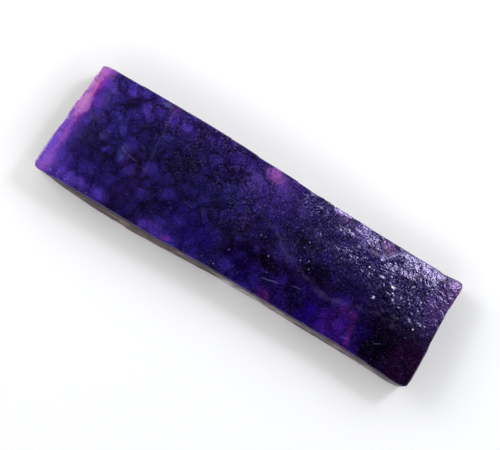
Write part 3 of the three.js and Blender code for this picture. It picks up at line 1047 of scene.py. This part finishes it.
@dataclass(frozen=True)
class WorkedFinish(Finish):
    """The upper face: ground and polished, with a broken, glassy skin at its upper right."""

    name = "worked_face"
    ground_roughness: float = 0.08
    skin_roughness: float = 0.16
    pebble_roughness: float = 0.07
    dulling: float = 0.22
    relief: float = 0.05
    glint_size: float = 0.4
    glint_tilt: float = 0.06
    sheen_tint: Colour = (0.76, 0.63, 1.0, 1.0)
    grain_tint: Colour = tone(46, 36, 124)
    grain_dark: Colour = (0.36, 0.34, 0.4, 1.0)
    grain_light: Colour = (1.6, 1.5, 1.45, 1.0)
    seam_tint: Colour = tone(16, 11, 22)
    ground_dust: tuple[Colour, Colour] = ((0.5, 0.46, 0.56, 1.0), (1.7, 1.7, 1.5, 1.0))
    skin_dust: tuple[Colour, Colour] = ((0.2, 0.17, 0.28, 1.0), (1.15, 1.1, 1.15, 1.0))
    flakes: tuple[Colour, Colour] = (tone(70, 72, 144), tone(98, 72, 152))
    specks: tuple[Colour, Colour] = (tone(110, 112, 180), tone(146, 122, 194))
    rare_speck: Colour = tone(140, 144, 204)
    band: Band = Band()
    vein: LedgeVein = LedgeVein()
    frost_and_sheen: FrostAndSheen = FrostAndSheen()

    def looks(self, bench: StoneBench) -> dict[str, Value]:
        """Builds the face's colour, polish and relief.

        Args:
            bench: where the nodes go.

        Returns:
            What the shader's inputs are fed with, by name.
        """
        above = self.vein.above(bench)
        skin = self._skin(bench, above)
        mosaic = bench.group(GrainMosaic, Place=bench.place)
        glaze = bench.node("Attribute", attribute_name=GLAZE).outputs["Fac"]
        colour = bench.lay(bench.group(StoneBody, Place=bench.place)["Colour"], PATCHES)
        colour = self.band.lay(bench, self._grains(bench, mosaic, skin, colour))
        colour = self._specks(bench, bench.lay(colour, BAND_PATCHES))
        colour = self.vein.lay(bench, above, bench.lay(colour, SHADES, "MULTIPLY"))
        # frost with painted sheen and painted shade in its pits, then the small painted glints
        colour = bench.lay(self.frost_and_sheen.lay(bench, colour), PAINTED_GLINTS)
        return {
            "Base Color": bench.draw(colour, LINES),
            "Roughness": self._roughness(bench, skin, glaze),
            "Specular Tint": self.sheen_tint,
            "Normal": self._relief(bench, skin, mosaic, glaze),
        }

    def _skin(self, bench: StoneBench, above: Value) -> Value:
        """How much of the broken skin a place has, by how far above the ledge it lies."""
        ripple, _ = bench.clouds(bench.place, 2.5)
        ragged = bench.plus(above, bench.sway(ripple, 2.0))
        return bench.times(bench.step(ragged, -0.8, 2.6), bench.step(bench.x, -24.0, 22.0))

    def _roughness(self, bench: StoneBench, skin: Value, glaze: Value) -> Socket:
        """How dull a place is, from its share of skin and from its glaze.

        The glaze is 1 on the pebbles, and below 0 where the skin is dull.

        Args:
            bench: where the nodes go.
            skin: how much of the broken skin a place has.
            glaze: how glassy it is.

        Returns:
            The roughness.
        """
        patchy, _ = bench.clouds(bench.place, 2.2, detail=4.0)
        polish = bench.step(skin, 0.0, 1.0, self.ground_roughness, self.skin_roughness)
        worn = bench.plus(polish, bench.vary(patchy, -0.02, 0.02),
                          bench.step(glaze, -1.0, 0.0, self.dulling, 0.0))
        return bench.step(glaze, 0.0, 0.6, worn, self.pebble_roughness)

    def _grains(self, bench: StoneBench, mosaic: Sockets, skin: Value, colour: Value) -> Socket:
        """Shades each grain, tints some, darkens their seams and dusts them all finely.

        Args:
            bench: where the nodes go.
            mosaic: the grains' shade, hue, seams and dust.
            skin: how much of the broken skin a place has.
            colour: what is shaded.

        Returns:
            The new colour.
        """
        bare = bench.minus(1.0, bench.times(skin, 0.5))
        hued = bench.times(bench.step(mosaic["Hue"], 0.4, 1.0, 0.0, 0.35),
                           bench.fade(bench.x, 33.0, 38.0))
        tinted = bench.mix(hued, colour, self.grain_tint)
        shade = bench.mix(mosaic["Shade"], self.grain_dark, self.grain_light)
        shaded = bench.mix(bare, colour, bench.mix(1.0, tinted, shade, "MULTIPLY"))
        crisp = bench.times(mosaic["Seam"], bare, bench.step(bench.y, -10.0, -3.0, 0.3, 0.76))
        seamed = bench.mix(crisp, shaded, self.seam_tint)
        low, high = (bench.mix(skin, *pair) for pair in zip(self.ground_dust, self.skin_dust))
        dust = bench.mix(mosaic["Dust"], low, high)
        return bench.mix(bench.step(bench.x, -22.0, -4.0, 0.55), seamed, dust, "MULTIPLY")

    def _specks(self, bench: StoneBench, colour: Value) -> Socket:
        """Strews fine bluish specks over the stone, few of them at its left and lower parts."""
        patchy, _ = bench.clouds(bench.place, 4.0, detail=2.0)
        rightward = bench.plus(bench.x, bench.times(bench.y, 0.8))
        upward = bench.plus(bench.y, bench.times(bench.x, -0.1))
        spread = bench.times(bench.step(rightward, -40.0, 0.0, 0.2),
                             bench.step(upward, -9.0, 6.0, 0.16),
                             bench.step(patchy, 0.3, 0.65, 0.4))
        violet = bench.step(bench.minus(bench.y, bench.times(bench.x, -0.05)), 0.0, 11.0)
        colour = bench.strew(colour, bench.mix(violet, *self.flakes), bench.times(spread, 0.36),
                             0.36, 0.35, "Flake")
        colour = bench.strew(colour, bench.mix(violet, *self.specks), bench.times(spread, 0.7),
                             0.44, 0.7)
        few = bench.times(spread, bench.step(bench.x, -10.0, 4.0, 0.3), 0.85)
        return bench.strew(colour, self.rare_speck, few, 0.55, 0.93)

    def _relief(self, bench: StoneBench, skin: Value, mosaic: Sockets, glaze: Value) -> Socket:
        """The finest relief: open seams on the ground face and a grainy broken skin.

        Args:
            bench: where the nodes go.
            skin: how much of the broken skin a place has.
            mosaic: the grains, with their seams.
            glaze: how glassy a place is.

        Returns:
            The normal.
        """
        facets = bench.group(Sparkle, Place=bench.place, Size=self.glint_size,
                             Tilt=bench.times(skin, self.glint_tilt))["Normal"]
        grain, _ = bench.clouds(bench.place, 0.5, roughness=0.6)
        rough = bench.times(grain, bench.step(skin, 0.0, 1.0, 0.1, 0.8))
        return bench.bump(bench.plus(bench.times(mosaic["Seam"], -0.1), rough), self.relief,
                          Strength=bench.step(glaze, 0.0, 0.6, 1.0, 0.15), Normal=facets)


@dataclass(frozen=True)
class SawnFinish(Finish):
    """The saw cuts and the underside: the same stone, dull, with the saw's marks."""

    name = "sawn_face"
    roughness: float = 0.75
    shine: float = 0.16
    relief: float = 0.06
    seam_tint: Colour = tone(12, 10, 22)
    brown_dust: Colour = tone(150, 133, 122)
    pale_dust: Colour = tone(206, 196, 196)
    streak_tint: Colour = tone(66, 54, 52)
    fleck_tint: Colour = tone(52, 41, 42)
    rim_tint: Colour = tone(44, 34, 46)
    film_tint: Colour = tone(134, 126, 150)
    film_light: Colour = (1.6, 1.5, 1.3, 1.0)
    fine_stretch: tuple[float, float, float] = (0.1, 0.1, 3.4)
    streak_stretch: tuple[float, float, float] = (0.16, 0.16, 0.75)
    fleck_stretch: tuple[float, float, float] = (0.5, 0.5, 1.2)
    kerf_stretch: tuple[float, float, float] = (1.9, 0.14, 0.1)

    def looks(self, bench: StoneBench) -> dict[str, Value]:
        """Builds the cuts' colour, dullness and saw marks.

        Args:
            bench: where the nodes go.

        Returns:
            What the shader's inputs are fed with, by name.
        """
        body = bench.group(StoneBody, Place=bench.place)["Colour"]
        seam = bench.group(GrainMosaic, Place=bench.place)["Seam"]
        shaded = bench.mix(bench.step(seam, 0.0, 1.0, 0.0, 0.5), body, self.seam_tint)
        fine, _ = bench.clouds(bench.place, detail=4.0, roughness=0.65, stretch=self.fine_stretch)
        speckle, _ = bench.clouds(bench.place, 0.8, detail=4.0, roughness=0.7,
                                  stretch=self.fleck_stretch)
        broad, _ = bench.clouds(bench.place, 6.0)
        side = self._side(bench, shaded, fine, speckle, broad)
        under = bench.fade(bench.z, 0.02, 0.5)
        return {
            "Base Color": bench.mix(under, side, self._underside(bench, shaded, broad)),
            "Roughness": bench.plus(self.roughness, bench.vary(fine, -0.1, 0.12)),
            "Specular IOR Level": self.shine,
            "Normal": bench.bump(bench.plus(fine, bench.times(speckle, 0.5)), self.relief),
        }

    def _side(self, bench: StoneBench, stone: Value, fine: Value, speckle: Value,
              broad: Value) -> Socket:
        """The colour of the sides: grey-brown dust with streaks, flecks and a dark upper rim.

        Args:
            bench: where the nodes go.
            stone: the bare stone's colour.
            fine: the noise along the saw's marks.
            speckle: the noise of the flecks.
            broad: the noise that makes the dust uneven.

        Returns:
            The colour.
        """
        streak, _ = bench.clouds(bench.place, roughness=0.6, stretch=self.streak_stretch)
        bloom = bench.plus(bench.vary(fine, 0.25, 0.75), bench.vary(broad, -0.2, 0.3))
        paler = bench.times(bench.step(bench.x, -8.0, 2.0), bench.fade(bench.x, 12.0, 22.0, 0.45))
        dusty = bench.mix(bloom, stone, bench.mix(paler, self.brown_dust, self.pale_dust))
        lined = bench.mix(bench.step(streak, 0.38, 0.6, 0.85, 0.0), dusty, self.streak_tint)
        flecked = bench.mix(bench.step(speckle, 0.44, 0.62, 0.0, 0.78), lined, self.fleck_tint)
        return bench.mix(bench.step(bench.z, 4.4, 5.8, 0.0, 0.85), flecked, self.rim_tint)

    def _underside(self, bench: StoneBench, stone: Value, broad: Value) -> Socket:
        """The colour of the underside: the bare stone under a thin, uneven film of dust."""
        kerf, _ = bench.clouds(bench.place, roughness=0.6, stretch=self.kerf_stretch)
        film = bench.plus(bench.step(kerf, 0.34, 0.66, 0.04, 0.26), bench.vary(broad, -0.06, 0.16))
        return bench.mix(film, bench.mix(1.0, stone, self.film_light, "MULTIPLY"), self.film_tint)


@dataclass(frozen=True)
class Pebble:
    """A small smooth lump on the broken skin, in millimetres."""

    x: float
    y: float
    reach_x: float
    reach_y: float
    height: float
    spread: ClassVar[float] = 1.3

    def rise(self, x: float, y: float) -> float:
        """How far the lump stands up at a place."""
        gap = math.hypot((x - self.x) / self.reach_x, (y - self.y) / self.reach_y)
        return self.height * ease(gap, self.spread, 0.0) if gap < self.spread else 0.0


@dataclass(frozen=True)
class Calm:
    """An oval zone of the broken skin, in millimetres: calmer, duller or a little raised."""

    x: float
    y: float
    reach_x: float
    reach_y: float
    cut: float = 0.7
    dull: float = 0.0
    lift: float = 0.0

    def share(self, x: float, y: float) -> float:
        """How far a place is inside the zone, from 0 to 1."""
        return ease(math.hypot((x - self.x) / self.reach_x, (y - self.y) / self.reach_y), 1.1, 0.6)


PEBBLES = (
    Pebble(33.9, 2.5, 1.9, 1.5, 0.2),
    Pebble(31.4, 5.1, 1.1, 0.5, 0.13),
    Pebble(34.9, 4.3, 0.8, 0.5, 0.13),
    Pebble(31.9, -0.1, 0.8, 0.5, 0.1),
    Pebble(29.5, 8.5, 0.9, 0.55, 0.1),
)

# Zones of the broken skin that are smoother than the rest, and two that rise with their full grain
CALM = (
    Calm(18.4, 10.4, 6.6, 4.4, cut=0.4, dull=0.1),
    Calm(17.3, 13.4, 8.0, 6.4, cut=0.0, lift=0.42),
    Calm(15.4, 17.0, 7.6, 6.4, cut=0.0, lift=0.3),
    Calm(26.6, 7.6, 2.8, 2.2),
    Calm(34.2, 1.4, 2.2, 1.4),
    Calm(46.8, 7.2, 3.6, 5.4, cut=0.1),
)


def ripple(x: float, y: float, size_x: float, size_y: float, layer: float) -> float:
    """Smooth noise at a place, with lumps of a size along x and y."""
    return noise.noise(Vector((x / size_x, y / size_y, layer)))


@dataclass(frozen=True)
class Skin:
    """The broken skin's fine relief and its reach over the face, in millimetres."""

    lump: float = 0.06
    ridge: float = 0.036
    grain: float = 0.024
    edge_ripple: float = 1.4
    push: float = 0.6
    lean: float = 0.1

    def share(self, x: float, y: float) -> float:
        """How much of the skin a place on the upper face has."""
        ledge = LEDGE_VEIN[0][1]
        for (x0, y0), (x1, y1) in zip(LEDGE_VEIN, LEDGE_VEIN[1:]):
            if x0 <= x:
                ledge = y0 + (y1 - y0) * min(1.0, (x - x0) / (x1 - x0))
        ragged = self.edge_ripple * ripple(x, y, 2.5, 2.5, 4.0)
        slant = ease(y + 0.25 * x, 6.0, 16.0)
        return ease(y - ledge + ragged, -0.4, 4.0) * ease(x, -8.0, 24.0) * (0.35 + 0.65 * slant)

    def relief(self, x: float, y: float) -> float:
        """How far the skin lies below its highest points at a place."""
        push = self.push * ripple(x, y, 2.2, 2.2, 9.0)
        across, along = x + push, y + self.lean * x + push
        lumps = ripple(across, along, 1.2, 0.95, 2.0)
        ridges = 1 - 2 * abs(ripple(across, along, 0.9, 0.7, 6.0))
        grain = ripple(across, along, 0.46, 0.38, 12.0)
        return self.lump * (lumps - 1) + self.ridge * (ridges - 1) + self.grain * (grain - 1)


@dataclass
class Slab:
    """The stone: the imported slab, remeshed finely, with its broken skin's relief.

    A slope is the least upward part of a face's or a point's normal.
    """

    merge_gap: float = 0.002
    voxel: float = 0.28
    smoothing: float = 0.5
    soft_times: int = 20
    soft_slope: float = 0.93
    least_soft: float = 0.3
    calm_times: int = 90
    calm_slope: float = 0.8
    foot_slope: float = 0.999
    foot_height: float = 0.01
    refined_slope: float = 0.6
    refined_share: float = 0.15
    carved_slope: float = 0.35
    full_slope: float = 0.8
    worked_slope: float = 0.45
    pebble_height: float = 0.1
    cut_height: float = 0.4
    cut_roughness: float = 0.05
    cut_mark: tuple[float, float, float] = (3.0, 3.0, 0.5)
    skin: Skin = Skin()
    finishes: dict[Zone, Finish] = field(
        default_factory=lambda: {Zone.WORKED: WorkedFinish(), Zone.SAWN: SawnFinish()})

    def build(self) -> bpy.types.Object:
        """Builds and dresses the stone.

        Returns:
            The finished piece.
        """
        stone = self._copy()
        self._remesh(stone)
        self._dissolve_foot(stone)
        self._refine_skin(stone)
        self._carve(stone)
        self._dress(stone)
        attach(stone, BODY)
        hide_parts(CAD_NODE)
        return stone

    def _copy(self) -> bpy.types.Object:
        """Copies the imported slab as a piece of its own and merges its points."""
        bpy.ops.object.select_all(action="DESELECT")
        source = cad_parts[CAD_NODE]
        stone = bpy.data.objects.new(PIECE_NAME, source.data.copy())
        stone.data.name = PIECE_NAME
        stone.data.materials.clear()
        bpy.context.scene.collection.objects.link(stone)
        stone.select_set(True)
        bpy.context.view_layer.objects.active = stone
        bpy.ops.object.mode_set(mode="EDIT")
        bpy.ops.mesh.select_all(action="SELECT")
        bpy.ops.mesh.remove_doubles(threshold=self.merge_gap * MM)
        bpy.ops.object.mode_set(mode="OBJECT")
        return stone

    def _remesh(self, stone: bpy.types.Object) -> None:
        """Gives the stone an even fine mesh and softens its arrises a little."""
        remesh = stone.modifiers.new("fine_mesh", "REMESH")
        remesh.mode = "VOXEL"
        remesh.voxel_size = self.voxel * MM
        bpy.ops.object.modifier_apply(modifier=remesh.name)
        self._weigh(stone, "soft_facets", self.soft_slope, self._soft_share)
        self._weigh(stone, "calm_facets", self.calm_slope, self._calm_share)
        for name, times in (("soft_facets", self.soft_times), ("calm_facets", self.calm_times)):
            smooth = stone.modifiers.new(name, "SMOOTH")
            smooth.factor = self.smoothing
            smooth.iterations = times
            smooth.vertex_group = name
            bpy.ops.object.modifier_apply(modifier=name)
        stone.vertex_groups.clear()

    def _soft_share(self, x: float, y: float) -> float:
        """How strongly a place on the upper face is softened."""
        return self.least_soft + (1 - self.least_soft) * min(1.0, self.skin.share(x, y))

    def _calm_share(self, x: float, y: float) -> float:
        """How far a place is inside the calm zones."""
        return max(zone.share(x, y) for zone in CALM)

    def _weigh(self, stone: bpy.types.Object, name: str, slope: float,
               share: Callable[[float, float], float]) -> None:
        """Marks how strongly each point of the upper face is smoothed, before any of it is.

        Args:
            stone: the piece.
            name: what the group of points is called.
            slope: the least slope of a point that is smoothed.
            share: how strongly a place is smoothed.
        """
        group = stone.vertex_groups.new(name=name)
        for vertex in stone.data.vertices:
            if vertex.normal.z > slope:
                weight = share(vertex.co.x / MM, vertex.co.y / MM)
                if weight > 0:
                    group.add([vertex.index], weight, "REPLACE")

    def _select(self, stone: bpy.types.Object,
                wanted: Callable[[bpy.types.MeshPolygon], bool]) -> None:
        """Selects the wanted faces and leaves the piece in edit mode."""
        bpy.ops.object.mode_set(mode="EDIT")
        bpy.ops.mesh.select_mode(type="FACE")
        bpy.ops.mesh.select_all(action="DESELECT")
        bpy.ops.object.mode_set(mode="OBJECT")
        for face in stone.data.polygons:
            face.select = wanted(face)
        bpy.ops.object.mode_set(mode="EDIT")

    def _dissolve_foot(self, stone: bpy.types.Object) -> None:
        """Makes the flat underside one face."""
        self._select(stone, lambda face: face.normal.z < -self.foot_slope
                     and face.center.z < self.foot_height * MM)
        bpy.ops.mesh.dissolve_faces()
        bpy.ops.object.mode_set(mode="OBJECT")

    def _refine_skin(self, stone: bpy.types.Object) -> None:
        """Divides the faces of the broken skin once more."""
        self._select(stone, lambda face: face.normal.z > self.refined_slope and self.skin.share(
            face.center.x / MM, face.center.y / MM) > self.refined_share)
        bpy.ops.mesh.subdivide(number_cuts=1, smoothness=0.0)
        bpy.ops.object.mode_set(mode="OBJECT")

    def _raise_skin(self, place: Vector, slope: float) -> float:
        """Moves a point of the upper face up or down.

        Args:
            place: the point, in millimetres, which is moved.
            slope: its slope.

        Returns:
            How glassy the point is: 1 on the pebbles, below 0 where the skin is dull.
        """
        x, y = place.x, place.y
        upward = ease(slope, self.carved_slope, self.full_slope)
        share = self.skin.share(x, y) * upward
        share *= 1 - max(zone.cut * zone.share(x, y) for zone in CALM)
        lift = upward * sum(zone.lift * zone.share(x, y) for zone in CALM)
        pebble = max(lump.rise(x, y) for lump in PEBBLES)
        smooth = min(1.0, pebble / self.pebble_height)
        place.z += share * self.skin.relief(x, y) * (1 - smooth) + pebble + lift
        return smooth - max(zone.dull * zone.share(x, y) for zone in CALM)

    def _carve(self, stone: bpy.types.Object) -> None:
        """Moves the points of the broken skin and of the saw cuts, and keeps to the CAD box."""
        low, high = (Vector(corner) / MM for corner in cad_box)
        mesh = stone.data
        glaze = mesh.attributes.new(GLAZE, "FLOAT", "POINT")
        normals = [vertex.normal.copy() for vertex in mesh.vertices]
        for vertex, normal in zip(mesh.vertices, normals):
            place = vertex.co / MM
            if normal.z > self.carved_slope:
                glaze.data[vertex.index].value = self._raise_skin(place, normal.z)
            elif place.z > self.cut_height:
                marks = noise.noise(Vector(at / size for at, size in zip(place, self.cut_mark)))
                place -= normal * self.cut_roughness * (1 + marks)
            vertex.co = Vector(min(max(value, bottom), top)
                               for value, bottom, top in zip(place, low, high)) * MM
        mesh.update()

    def _dress(self, stone: bpy.types.Object) -> None:
        """Gives each face the finish of its zone and smooths the shading."""
        zones = list(Zone)
        for zone in zones:
            stone.data.materials.append(self.finishes[zone].material())
        for face in stone.data.polygons:
            zone = Zone.WORKED if face.normal.z > self.worked_slope else Zone.SAWN
            face.material_index = zones.index(zone)
        bpy.ops.object.shade_smooth()


@dataclass(frozen=True)
class Softbox:
    """A square soft light, in millimetres, aimed at the slab."""

    name: str
    place: tuple[float, float, float]
    side: float
    power: float
    colour: tuple[float, float, float] = (1.0, 1.0, 1.0)

    def build(self) -> bpy.types.Object:
        """Makes the light.

        Returns:
            The new light.
        """
        data = bpy.data.lights.new(self.name, "AREA")
        data.shape = "SQUARE"
        data.size = self.side * MM
        data.energy = self.power
        data.color = self.colour
        light = bpy.data.objects.new(self.name, data)
        light.location = Vector(self.place) * MM
        light.rotation_euler = (-Vector(self.place)).to_track_quat("-Z", "Y").to_euler()
        bpy.context.scene.collection.objects.link(light)
        return light


@dataclass
class Studio:
    """A pale floor, soft light from the sides, and a camera nearly overhead."""

    floor_side: float = 4000.0
    floor_colour: Colour = (0.9, 0.9, 0.9, 1.0)
    floor_roughness: float = 0.8
    camera_distance: float = 260.0
    camera_clip: Span = (0.01, 20.0)
    tilt_to_left_deg: float = 2.04
    tilt_to_front_deg: float = 9.54
    roll_deg: float = 31.265
    aim: tuple[float, float, float] = (-0.57, -0.42, 7.0)
    lens: float = 82.9
    sensor_width: float = 36.0
    horizon_glow: float = 0.9
    ring_glow: float = 2.35
    ring_rise: Span = (0.2, 0.42)
    ring_fall: Span = (0.5, 0.75)
    sky_colour: Colour = (0.99, 0.99, 1.0, 1.0)
    softboxes: tuple[Softbox, ...] = (
        Softbox("sheen_card", (163.0, 283.0, 294.0), 150.0, 0.34, (0.92, 0.94, 1.0)),
        Softbox("glint_lamp", (155.0, 262.0, 314.0), 60.0, 0.24, (0.9, 0.94, 1.0)),
        Softbox("left_fill", (-470.0, 60.0, 260.0), 260.0, 1.2),
    )

    def build(self) -> None:
        """Builds the floor, the lights, the surroundings and the camera."""
        self._floor()
        for softbox in self.softboxes:
            softbox.build()
        self._surroundings()
        self._camera()

    def _floor(self) -> None:
        """Lays a pale floor under the slab."""
        bpy.ops.object.select_all(action="DESELECT")
        bpy.ops.mesh.primitive_plane_add(size=self.floor_side * MM, location=(0, 0, 0))
        floor = bpy.context.active_object
        floor.name = "floor"
        paper = bpy.data.materials.new("pale_floor")
        paper.use_nodes = True
        shader = paper.node_tree.nodes["Principled BSDF"]
        shader.inputs["Base Color"].default_value = self.floor_colour
        shader.inputs["Roughness"].default_value = self.floor_roughness
        floor.data.materials.append(paper)

    def _surroundings(self) -> None:
        """Makes the surroundings: a pale horizon, a bright ring above it, and dark overhead."""
        world = bpy.data.worlds.new("studio")
        bpy.context.scene.world = world
        world.use_nodes = True
        bench = Bench(world.node_tree)
        direction = bench.node("TexCoord").outputs["Generated"]
        height = bench.node("SeparateXYZ", direction).outputs[2]
        rising = bench.step(height, *self.ring_rise, self.horizon_glow, self.ring_glow)
        background = world.node_tree.nodes["Background"]
        bench.feed(background.inputs["Strength"],
                   bench.times(rising, bench.fade(height, *self.ring_fall)))
        background.inputs["Color"].default_value = self.sky_colour

    def _camera(self) -> None:
        """Sets the camera at the photograph's viewing angle."""
        back = Vector((-math.tan(math.radians(self.tilt_to_left_deg)),
                       -math.tan(math.radians(self.tilt_to_front_deg)), 1.0)).normalized()
        level = Vector((1.0, 0.0, 0.0))
        level = (level - back * level.dot(back)).normalized()
        upright = back.cross(level)
        roll = math.radians(self.roll_deg)
        right = level * math.cos(roll) + upright * math.sin(roll)
        turn = Matrix((right, back.cross(right), back)).transposed().to_4x4()
        place = (Vector(self.aim) + back * self.camera_distance) * MM
        data = bpy.data.cameras.new("camera")
        data.sensor_width = self.sensor_width
        data.lens = self.lens
        data.clip_start, data.clip_end = self.camera_clip
        camera = bpy.data.objects.new("camera", data)
        camera.matrix_world = Matrix.Translation(place) @ turn
        bpy.context.scene.collection.objects.link(camera)
        bpy.context.scene.camera = camera


def main() -> None:
    """Builds the stone and the studio around it."""
    logging.basicConfig(level=logging.INFO, format="%(message)s")
    for effect in (SoftPatch, FineLine, GrainMosaic, Sparkle, StoneBody):
        log.info("%s: effect ready", effect().name)
    stone = Slab().build()
    log.info("%s: %d faces", stone.name, len(stone.data.polygons))
    Studio().build()
    log.info("studio ready")
    bpy.context.scene.view_settings.view_transform = "Standard"


if __name__ == "__main__":
    main()
